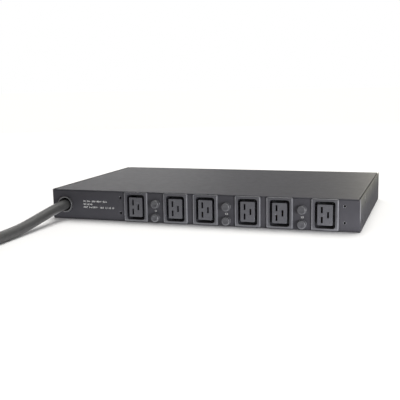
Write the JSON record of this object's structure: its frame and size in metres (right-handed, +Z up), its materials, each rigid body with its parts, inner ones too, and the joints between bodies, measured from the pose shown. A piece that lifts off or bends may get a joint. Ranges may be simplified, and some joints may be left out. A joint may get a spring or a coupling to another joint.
{
  "type": "rack power distribution unit",
  "caption": "Low flat black rack power strip: a folded steel case with flanged sockets and push-to-reset breakers in its front, and a thick fixed supply cord with a round industrial plug.",
  "frame": {"origin": "middle of the case's underside", "axes": "+X to the right seen from the front, -Y out of the socket front, +Z up"},
  "size_m": [0.6325, 0.6243, 0.066],
  "materials": {
    "case_paint": "black fine-textured powder coat, satin",
    "zinc_steel": "zinc plated",
    "black_steel": "black passivated steel",
    "socket_plastic": "fine spark-eroded moulding",
    "breaker_plastic": "moulded",
    "button_plastic": "smooth moulded",
    "brass": "rolled strip",
    "copper": "bare copper bar",
    "wire_brown": "extruded insulation",
    "wire_black": "extruded insulation",
    "wire_grey": "extruded insulation",
    "wire_blue": "extruded insulation",
    "wire_green": "extruded insulation",
    "terminal_plastic": "moulded",
    "bushing_plastic": "smooth moulded",
    "cord_rubber": "smooth sheath with a dull sheen",
    "tie_fabric": "woven hook-and-loop strap",
    "plug_black": "moulded",
    "plug_red": "moulded",
    "pin_nickel": "nickel plated"
  },
  "bodies": {
    "case": {"breaker_body_lower_1": "breaker_plastic", "breaker_body_lower_2": "breaker_plastic", "breaker_body_lower_3": "breaker_plastic", "breaker_body_upper_1": "breaker_plastic", "breaker_body_upper_2": "breaker_plastic", "breaker_body_upper_3": "breaker_plastic", "breaker_nut_lower_1": "breaker_plastic", "breaker_nut_lower_2": "breaker_plastic", "breaker_nut_lower_3": "breaker_plastic", "breaker_nut_upper_1": "breaker_plastic", "breaker_nut_upper_2": "breaker_plastic", "breaker_nut_upper_3": "breaker_plastic", "breaker_tabs": "brass", "bushing_nut": "bushing_plastic", "chassis_base": "case_paint", "clinch_nuts": "zinc_steel", "coil_tie": "tie_fabric", "cord_bushing": "bushing_plastic", "cord_coil": "cord_rubber", "cord_cores": "wire_grey", "cord_lead": "cord_rubber", "cord_tail": "cord_rubber", "cover_screws": "black_steel", "earth_bar": "copper", "earth_nut": "zinc_steel", "earth_stud": "zinc_steel", "earth_wires": "wire_green", "neutral_bar": "copper", "neutral_wire": "wire_blue", "phase_links": "copper", "phase_wires_1": "wire_brown", "phase_wires_2": "wire_black", "phase_wires_3": "wire_grey", "plug_clamp_nut": "plug_black", "plug_handle": "plug_black", "plug_insert": "plug_black", "plug_pins": "pin_nickel", "plug_shroud": "plug_red", "socket_contacts_1": "brass", "socket_contacts_2": "brass", "socket_contacts_3": "brass", "socket_contacts_4": "brass", "socket_contacts_5": "brass", "socket_contacts_6": "brass", "socket_housing_1": "socket_plastic", "socket_housing_2": "socket_plastic", "socket_housing_3": "socket_plastic", "socket_housing_4": "socket_plastic", "socket_housing_5": "socket_plastic", "socket_housing_6": "socket_plastic", "terminal_block": "terminal_plastic", "terminal_screws": "zinc_steel", "top_cover": "case_paint"},
    "button_lower_1": {"breaker_button_lower_1": "button_plastic"},
    "button_upper_1": {"breaker_button_upper_1": "button_plastic"},
    "button_lower_2": {"breaker_button_lower_2": "button_plastic"},
    "button_upper_2": {"breaker_button_upper_2": "button_plastic"},
    "button_lower_3": {"breaker_button_lower_3": "button_plastic"},
    "button_upper_3": {"breaker_button_upper_3": "button_plastic"}
  },
  "joints": [
    {"name": "button_lower_1_slide", "type": "slide", "parent": "case", "child": "button_lower_1", "axis": [0, -1, 0], "range_m": [0, 0.003]},
    {"name": "button_upper_1_slide", "type": "slide", "parent": "case", "child": "button_upper_1", "axis": [0, -1, 0], "range_m": [0, 0.003]},
    {"name": "button_lower_2_slide", "type": "slide", "parent": "case", "child": "button_lower_2", "axis": [0, -1, 0], "range_m": [0, 0.003]},
    {"name": "button_upper_2_slide", "type": "slide", "parent": "case", "child": "button_upper_2", "axis": [0, -1, 0], "range_m": [0, 0.003]},
    {"name": "button_lower_3_slide", "type": "slide", "parent": "case", "child": "button_lower_3", "axis": [0, -1, 0], "range_m": [0, 0.003]},
    {"name": "button_upper_3_slide", "type": "slide", "parent": "case", "child": "button_upper_3", "axis": [0, -1, 0], "range_m": [0, 0.003]}
  ]
}
